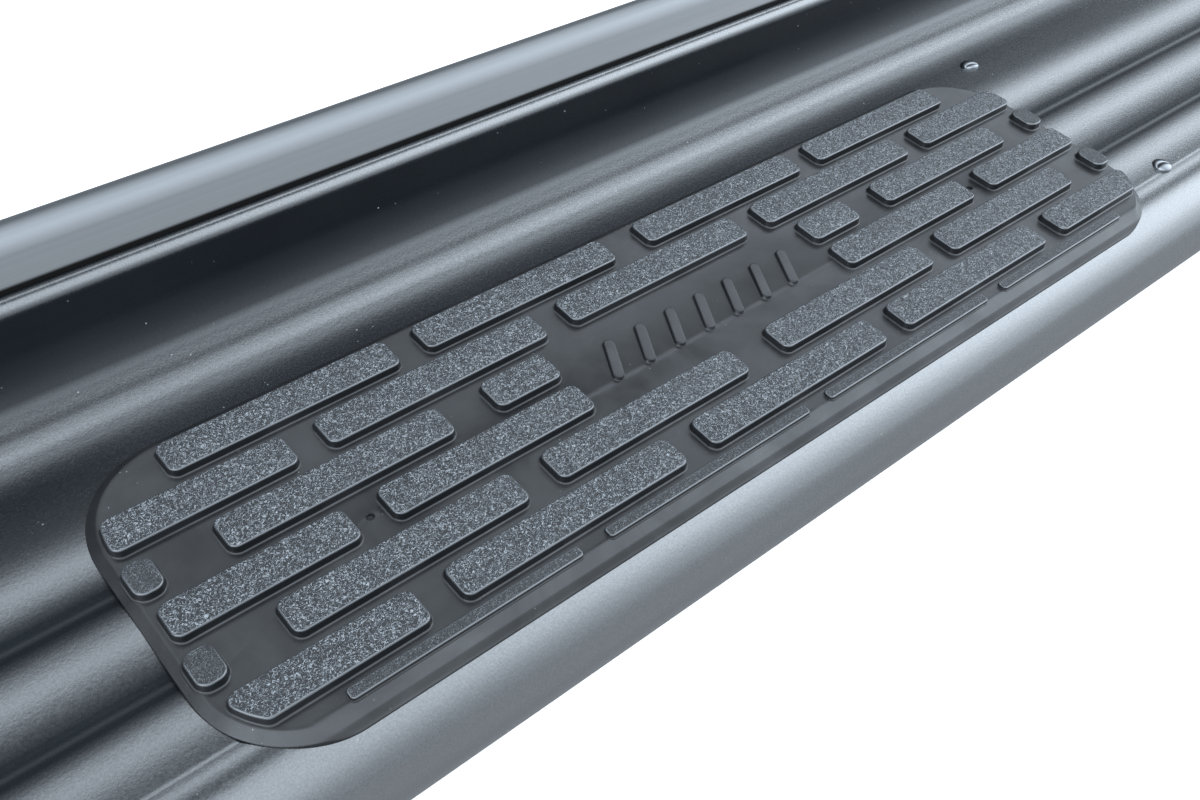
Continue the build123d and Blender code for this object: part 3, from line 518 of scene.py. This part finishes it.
def deck_material():
    n = Nodes("deck_powder_coat")
    broad = n.noise(9.0, 3, 0.55)
    fine = n.noise(900.0, 2, 0.6)
    peel = n.noise(330.0, 2, 0.5)
    base = n.mix(n.remap(broad, 0.3, 0.7), rgb(0.008, 0.010, 0.013), rgb(0.013, 0.016, 0.019))
    # fine dust specks
    spots = n.voronoi(260.0)
    speck = n.math("MULTIPLY", n.remap(spots, 0.10, 0.06), n.remap(n.noise(70.0, 1, 0.5), 0.60, 0.72))
    base = n.mix(speck, base, rgb(0.45, 0.46, 0.47))
    base = n.mix(n.math("MULTIPLY", n.edges(0.54, 0.66), 0.25), base, rgb(0.09, 0.095, 0.10))
    rough = n.math("ADD", n.remap(broad, 0.3, 0.7, 0.22, 0.25), n.remap(fine, 0.3, 0.7, -0.02, 0.05))
    rough = n.math("ADD", rough, n.math("MULTIPLY", speck, 0.4))
    # reflection strength set by position along Y: painted shade on the rear slope, in the cove and on the upstand,
    # painted highlight across the gutter
    sep = n.t.nodes.new("ShaderNodeSeparateXYZ")
    n.link(n.pos, sep.inputs[0])
    curve = n.t.nodes.new("ShaderNodeFloatCurve")
    cv = curve.mapping.curves[0]
    table = [(0.0, 0.50), (0.52, 0.50), (0.575, 0.36), (0.625, 0.38), (0.67, 0.55), (0.71, 0.62), (0.755, 0.64),
             (0.785, 0.30), (0.82, 0.06), (0.855, 0.03), (0.89, 0.02), (1.0, 0.02)]
    cv.points[0].location, cv.points[1].location = table[0], table[-1]
    for p in table[1:-1]:
        cv.points.new(*p)
    for p in cv.points:
        p.handle_type = "VECTOR"
    curve.mapping.update()
    n.link(n.remap(sep.outputs[1], 0.0, 0.125), curve.inputs["Value"])
    top = n.remap(sep.outputs[2], 0.0245, 0.0275)
    level = n.math("ADD", n.math("MULTIPLY", curve.outputs[0], n.math("SUBTRACT", 1.0, top)), n.math("MULTIPLY", top, 0.5))
    # and painted shade along the bottoms of the two grooves between the ridges, where the reflection strength is cut
    turn = n.math("FRACT", n.math("DIVIDE", n.math("SUBTRACT", sep.outputs[1], CREST_Y[0] * MM), 0.0378))
    off = n.math("ABSOLUTE", n.math("SUBTRACT", turn, 0.5))
    groove_painted_shade = n.math("MULTIPLY", n.remap(off, 0.27, 0.09), n.math("MULTIPLY", n.remap(sep.outputs[1], -0.052, -0.050),
                                                             n.remap(sep.outputs[1], 0.026, 0.024)))
    level = n.math("MULTIPLY", level, n.math("SUBTRACT", 1.0, n.math("MULTIPLY", groove_painted_shade, 0.90)))
    sand = n.noise(1500.0, 2, 0.65)
    level = n.math("MULTIPLY", level, n.remap(sand, 0.35, 0.65, 0.90, 1.10))
    b1 = n.bump(peel, 0.06, 0.0005)
    b2 = n.bump(fine, 0.15, 0.00026, b1)
    b3 = n.bump(speck, 0.5, 0.0001, b2)
    return n.set(color=base, rough=rough, ior=3.0, spec=level, normal=b3)


def coat_material(name, colour, rough0, grain=420.0):
    n = Nodes(name)
    broad = n.noise(14.0, 4, 0.6)
    fine = n.noise(grain, 3, 0.6)
    base = n.mix(n.remap(broad, 0.3, 0.7), rgb(*colour), rgb(*[c * 1.5 for c in colour]))
    wear = n.math("MULTIPLY", n.rims(0.0009), n.remap(n.noise(120.0, 3, 0.7), 0.45, 0.6))
    base = n.mix(n.math("MULTIPLY", wear, 0.7), base, rgb(0.12, 0.12, 0.124))
    rough = n.remap(n.math("ADD", broad, fine), 0.7, 1.3, rough0, rough0 + 0.12)
    return n.set(color=base, rough=rough, ior=1.6, normal=n.bump(fine, 0.25, 0.0003))


def strip_material():
    n = Nodes("seal_strip_rubber")
    lines = n.noise(1.0, 3, 0.6, n.scaled(2.0, 900.0, 900.0))
    scuff = n.noise(1.0, 4, 0.65, n.scaled(10.0, 190.0, 190.0))
    fine = n.noise(1500.0, 2, 0.5)
    base = n.mix(n.remap(lines, 0.35, 0.65), rgb(0.030, 0.032, 0.034), rgb(0.052, 0.054, 0.056))
    base = n.mix(n.remap(scuff, 0.5, 0.8, 0.0, 0.35), base, rgb(0.085, 0.085, 0.085))
    sep = n.t.nodes.new("ShaderNodeSeparateXYZ")
    n.link(n.pos, sep.inputs[0])
    crown_painted_highlight = n.math("MULTIPLY", n.remap(sep.outputs[1], 0.1315, 0.1360), n.remap(sep.outputs[1], 0.1425, 0.1392))
    seam_painted_shade = n.remap(sep.outputs[1], 0.1226, 0.1216)
    face_painted_light = n.remap(sep.outputs[1], 0.1215, 0.1345)
    # painted light: the face of the strip is lightened towards its top
    base = n.mix(n.math("MULTIPLY", face_painted_light, 0.5), base, rgb(0.11, 0.118, 0.125))
    # painted highlight along the rounded crown of the strip
    base = n.mix(n.math("MULTIPLY", crown_painted_highlight, 0.75), base, rgb(0.30, 0.315, 0.33))
    # painted shade: a near-black band with less gloss in the gap under the strip
    base = n.mix(seam_painted_shade, base, rgb(0.004, 0.004, 0.004))
    rough = n.remap(scuff, 0.3, 0.7, 0.36, 0.48)
    gloss = n.math("SUBTRACT", 0.5, n.math("MULTIPLY", seam_painted_shade, 0.48))
    b1 = n.bump(lines, 0.22, 0.0002)
    b2 = n.bump(fine, 0.12, 0.0001, b1)
    return n.set(color=base, rough=rough, ior=2.2, spec=gloss, normal=b2)


def pad_material(name, kind):
    n = Nodes(name)
    broad = n.noise(22.0, 4, 0.6)
    micro = n.noise(1700.0, 2, 0.6)
    if kind == "top" or kind == "small":
        size = 980.0 if kind == "top" else 1500.0
        warp = n.noise(size, 1.0, 0.4, distortion=1.0)
        ridge = n.math("ABSOLUTE", n.math("SUBTRACT", warp, 0.5))
        height = n.remap(ridge, 0.060, 0.010)
        # the worm-shaped grain is real; the very light colour on its ridges is a painted glint
        glint_bright = 0.42 if kind == "top" else 0.18
        base = n.mix(height, rgb(0.012, 0.0132, 0.0150), rgb(glint_bright * 0.86, glint_bright * 0.93, glint_bright))
        base = n.mix(n.remap(broad, 0.45, 0.75, 0.0, 0.15), base, rgb(0.075, 0.080, 0.086))
        rough = n.remap(height, 0.0, 1.0, 0.50, 0.34)
        b = n.bump(height, 0.7, 0.0004)
        b = n.bump(micro, 0.2, 0.0001, b)
        return n.set(color=base, rough=rough, ior=2.0, spec=n.remap(height, 0.0, 1.0, 0.32, 0.72), normal=b)
    # painted highlight: the rounded top edges of the blocks get a lighter, glossier plastic
    if kind == "edge":
        base = n.mix(n.remap(broad, 0.3, 0.7), rgb(0.050, 0.054, 0.060), rgb(0.085, 0.090, 0.098))
        return n.set(color=base, rough=0.26, ior=2.2, normal=n.bump(micro, 0.08, 0.0001))
    if kind == "side":
        base = n.mix(n.remap(broad, 0.3, 0.7), rgb(0.009, 0.0095, 0.0105), rgb(0.015, 0.016, 0.0175))
        return n.set(color=base, rough=0.38, ior=1.45, normal=n.bump(micro, 0.10, 0.0001))
    scuff = n.noise(60.0, 5, 0.7)
    cloud = n.noise(26.0, 4, 0.6, distortion=0.8)
    base = n.mix(n.remap(broad, 0.3, 0.7), rgb(0.0095, 0.0100, 0.0110), rgb(0.017, 0.0175, 0.019))
    base = n.mix(n.remap(scuff, 0.55, 0.8, 0.0, 0.4), base, rgb(0.040, 0.040, 0.041))
    dust = n.math("MULTIPLY", n.remap(n.voronoi(420.0), 0.10, 0.05), n.remap(n.noise(90.0, 1, 0.5), 0.60, 0.70))
    base = n.mix(dust, base, rgb(0.35, 0.36, 0.37))
    rough = n.math("ADD", n.remap(scuff, 0.3, 0.7, 0.30, 0.42), n.remap(cloud, 0.35, 0.65, -0.05, 0.07))
    b = n.bump(micro, 0.20, 0.00012)
    return n.set(color=base, rough=rough, ior=1.72, spec=n.remap(cloud, 0.35, 0.65, 0.38, 0.64), normal=b)


def metal_material(name, colour, rough0, plated=True):
    n = Nodes(name)
    broad = n.noise(60.0, 4, 0.6)
    fine = n.noise(1200.0, 2, 0.6)
    base = n.mix(n.remap(broad, 0.3, 0.7), rgb(*[c * 0.8 for c in colour]), rgb(*colour))
    rough = n.remap(n.math("ADD", broad, fine), 0.7, 1.3, rough0, rough0 + (0.15 if plated else 0.05))
    return n.set(color=base, rough=rough, metal=1.0, normal=n.bump(fine, 0.08, 0.0001))


def rubber_material():
    n = Nodes("isolator_rubber")
    broad = n.noise(40.0, 4, 0.6)
    fine = n.noise(1500.0, 2, 0.6)
    base = n.mix(n.remap(broad, 0.3, 0.7), rgb(0.012, 0.012, 0.012), rgb(0.024, 0.024, 0.024))
    return n.set(color=base, rough=n.remap(broad, 0.3, 0.7, 0.62, 0.78), ior=1.5, normal=n.bump(fine, 0.3, 0.0001))


deck_m = deck_material()
bracket_m = coat_material("bracket_ecoat", (0.012, 0.0125, 0.0135), 0.34)
cap_m = coat_material("end_cap_plastic", (0.014, 0.0145, 0.0155), 0.42, 900.0)
strip_m = strip_material()
rubber_m = rubber_material()
rivet_m = metal_material("rivet_polished_steel", (0.34, 0.355, 0.375), 0.08, plated=False)
zinc_m = metal_material("zinc_plate", (0.62, 0.63, 0.64), 0.22)
spring_m = metal_material("spring_steel_dark", (0.20, 0.20, 0.205), 0.34)
pad_ms = [pad_material("pad_floor_satin", "floor"), pad_material("pad_block_side", "side"),
          pad_material("pad_block_grain", "top"), pad_material("pad_small_grain", "small"),
          pad_material("pad_underside", "floor"), pad_material("pad_edge_painted_highlight", "edge")]

# ============================================================ deck panel
prof = profile()
m = len(prof)
verts, faces = [], []
SECTIONS = 9
for i in range(SECTIONS):
    x = -DECK_L / 2 + DECK_L * i / (SECTIONS - 1)
    verts += [(x, a[0], a[1]) for a, b in prof]
    verts += [(x, b[0], b[1]) for a, b in prof]
for i in range(SECTIONS - 1):
    o0, o1 = 2 * m * i, 2 * m * (i + 1)
    for j in range(m - 1):
        faces.append((o0 + j, o0 + j + 1, o1 + j + 1, o1 + j))
        faces.append((o0 + m + j, o1 + m + j, o1 + m + j + 1, o0 + m + j + 1))
    faces.append((o0, o1, o1 + m, o0 + m))
    faces.append((o0 + m - 1, o0 + 2 * m - 1, o1 + 2 * m - 1, o1 + m - 1))
end = 2 * m * (SECTIONS - 1)
for j in range(m - 1):
    faces.append((j, m + j, m + j + 1, j + 1))
    faces.append((end + j, end + j + 1, end + m + j + 1, end + m + j))
deck = new_object("deck_panel_smooth", verts, faces, [deck_m], angle=40.0)
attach(deck, "board")
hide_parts("deck_panel")

# ============================================================ pads and rivets
for side, xc in (("front", -PAD_X), ("rear", PAD_X)):
    pad = build_pad(f"{side}_pad_detailed", xc, pad_ms)
    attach(pad, "board")
    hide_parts(f"{side}_step_pad")

rivet_profile_head = [(4.9, 0.02), (4.9, 0.32), (4.82, 0.62), (4.62, 0.95), (4.25, 1.32), (3.7, 1.68), (3.0, 2.0),
                      (2.2, 2.25), (1.4, 2.41), (0.7, 2.49), (0.25, 2.52)]
mesh = Mesh()
for x in STATIONS:
    for row, y in enumerate(RIVET_Y):
        low = -6.31 if row == 0 else -6.22
        z0 = FRONT_HEAD_Z if row == 0 else REAR_HEAD_Z
        tilt = 0.0 if row == 0 else SL
        shape = [(0.3, low - 4.4), (1.6, low - 4.25), (2.6, low - 3.8), (3.3, low - 3.0), (3.5, low - 2.0),
                 (3.4, low - 0.9), (3.3, low - 0.05), (2.4, low - 0.05), (2.4, 0.02)] + rivet_profile_head
        prev = None
        for r, z in shape:
            pts = []
            for i in range(40):
                a = 2 * pi * i / 40
                px, py = r * cos(a), r * sin(a)
                pts.append((x + px, y + py * cos(tilt) + z * sin(tilt), z0 - py * sin(tilt) + z * cos(tilt)))
            ring = mesh.ring(pts)
            if prev is None:
                mesh.cap(ring, 0, flip=True)
            else:
                mesh.band(prev, ring, 0)
            prev = ring
        mesh.cap(prev, 0)
rivets = new_object("deck_rivets_polished", mesh.v, mesh.f, [rivet_m], mesh.m, angle=50.0)
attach(rivets, "board")
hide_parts("deck_rivets")

# ============================================================ finishes of the CAD nodes
finish = {
    "rear_seal_strip": strip_m, "seal_carrier": spring_m, "front_pad_push_nuts": spring_m,
    "rear_pad_push_nuts": spring_m, "front_end_cap": cap_m, "rear_end_cap": cap_m, "end_cap_screws": zinc_m,
    "rivet_backing_washers": zinc_m,
}
for k in range(1, 5):
    finish[f"support_saddle_{k}"] = bracket_m
    finish[f"bracket_arm_{k}"] = bracket_m
    finish[f"bracket_foot_{k}"] = bracket_m
    finish[f"bracket_gusset_{k}"] = bracket_m
    finish[f"foot_isolator_{k}"] = rubber_m
    finish[f"saddle_bolts_{k}"] = zinc_m
    finish[f"saddle_washers_{k}"] = zinc_m
    finish[f"saddle_lock_washers_{k}"] = spring_m
    finish[f"saddle_nuts_{k}"] = zinc_m
for name, material in finish.items():
    ob = nodes[name]
    ob.data.materials.clear()
    ob.data.materials.append(material)
    for p in ob.data.polygons:
        p.use_smooth = True
        p.material_index = 0
    w = ob.modifiers.new("weld", "WELD")
    w.merge_threshold = 0.00001
    s = ob.modifiers.new("split", "EDGE_SPLIT")
    s.split_angle = radians(32)

# ============================================================ floor, light, camera
FLOOR_Z = -0.0622
bpy.ops.mesh.primitive_plane_add(size=30, location=(0, 0, FLOOR_Z))
floor = bpy.context.object
floor.name = "studio_floor"
n = Nodes("studio_floor_paint")
fl = n.mix(n.remap(n.noise(3.0, 4, 0.6), 0.3, 0.7), rgb(0.86, 0.86, 0.86), rgb(0.89, 0.89, 0.89))
n.set(color=fl, rough=0.8, spec=0.1)
n.p.inputs["Emission Color"].default_value = rgb(1, 1, 1)
lp = n.t.nodes.new("ShaderNodeLightPath")
n.link(n.remap(lp.outputs["Is Camera Ray"], 0.0, 1.0, 0.0, 0.6), n.p.inputs["Emission Strength"])
n.link(n.mix(lp.outputs["Is Camera Ray"], rgb(0.50, 0.49, 0.48), fl), n.p.inputs["Base Color"])
# the floor is one-sided, so the underside can be looked at from below it
facing = n.t.nodes.new("ShaderNodeNewGeometry")
clear = n.t.nodes.new("ShaderNodeBsdfTransparent")
sided = n.t.nodes.new("ShaderNodeMixShader")
n.link(facing.outputs["Backfacing"], sided.inputs[0])
n.link(n.p.outputs[0], sided.inputs[1])
n.link(clear.outputs[0], sided.inputs[2])
n.link(sided.outputs[0], next(x for x in n.t.nodes if x.type == "OUTPUT_MATERIAL").inputs["Surface"])
floor.data.materials.append(n.mat)

world = bpy.data.worlds.new("studio")
scene.world = world
world.use_nodes = True
wt = world.node_tree
wt.nodes.clear()
w_out = wt.nodes.new("ShaderNodeOutputWorld")
w_bg = wt.nodes.new("ShaderNodeBackground")
w_tc = wt.nodes.new("ShaderNodeTexCoord")
w_sep = wt.nodes.new("ShaderNodeSeparateXYZ")
wt.links.new(w_tc.outputs["Generated"], w_sep.inputs[0])


def wmath(op, a, b=None):
    nd = wt.nodes.new("ShaderNodeMath")
    nd.operation = op
    for i, v in enumerate((a, b)):
        if v is None:
            continue
        if isinstance(v, (int, float)):
            nd.inputs[i].default_value = v
        else:
            wt.links.new(v, nd.inputs[i])
    return nd.outputs[0]


phi = wmath("ARCTAN2", w_sep.outputs[2], w_sep.outputs[1])       # 0 behind the board, pi in front
phi01 = wmath("DIVIDE", phi, pi)
# brightness of the studio around the board's long axis (angle in degrees, level)
LEVELS = [(0, 0.04), (20, 0.05), (29, 0.07), (36, 0.11), (42, 0.22), (47, 0.52), (51, 1.0), (55, 1.15), (59, 1.0),
          (63, 0.44), (68, 0.14), (74, 0.06), (79, 0.09), (86, 0.56), (93, 1.0), (104, 1.10), (124, 1.06), (136, 0.98),
          (150, 0.70), (165, 0.50), (180, 0.42)]
ramp = wt.nodes.new("ShaderNodeValToRGB")
ramp.color_ramp.interpolation = "EASE"
els = ramp.color_ramp.elements
els[0].position, els[1].position = 0.0, 1.0
for a, v in LEVELS[1:-1]:
    els.new(a / 180.0)
for e, (a, v) in zip(sorted(els, key=lambda e: e.position), LEVELS):
    e.color = (v / 1.15 * 0.80, v / 1.15 * 0.90, v / 1.15, 1)
wt.links.new(phi01, ramp.inputs[0])
# dimmer towards the ends of the room
along = wt.nodes.new("ShaderNodeMapRange")
along.inputs[1].default_value, along.inputs[2].default_value = 0.20, 0.88
along.inputs[3].default_value, along.inputs[4].default_value = 0.95, 1.95
wt.links.new(wmath("ABSOLUTE", w_sep.outputs[0]), along.inputs[0])
wt.links.new(ramp.outputs[0], w_bg.inputs[0])
wt.links.new(wmath("MULTIPLY", along.outputs[0], 1.75 * 1.15), w_bg.inputs[1])
# what the camera itself sees beyond the floor is plain and pale
w_plain = wt.nodes.new("ShaderNodeBackground")
w_plain.inputs[0].default_value, w_plain.inputs[1].default_value = (0.86, 0.86, 0.86, 1), 1.0
w_ray = wt.nodes.new("ShaderNodeLightPath")
w_mix = wt.nodes.new("ShaderNodeMixShader")
wt.links.new(w_ray.outputs["Is Camera Ray"], w_mix.inputs[0])
wt.links.new(w_bg.outputs[0], w_mix.inputs[1])
wt.links.new(w_plain.outputs[0], w_mix.inputs[2])
wt.links.new(w_mix.outputs[0], w_out.inputs[0])

cam_data = bpy.data.cameras.new("photo_view")
cam_data.sensor_width = 36.0
cam_data.lens = 36.91
cam_data.clip_start = 0.01
cam = bpy.data.objects.new("photo_view", cam_data)
scene.collection.objects.link(cam)
right, up, back = (0.75886, -0.64489, 0.09083), (0.41970, 0.59092, 0.68896), (-0.49797, -0.48471, 0.71908)
cam.matrix_world = Matrix((
    (right[0], up[0], back[0], -0.7903),
    (right[1], up[1], back[1], -0.2392),
    (right[2], up[2], back[2], 0.32795),
    (0, 0, 0, 1)))
scene.camera = cam
scene.view_settings.view_transform = "Standard"
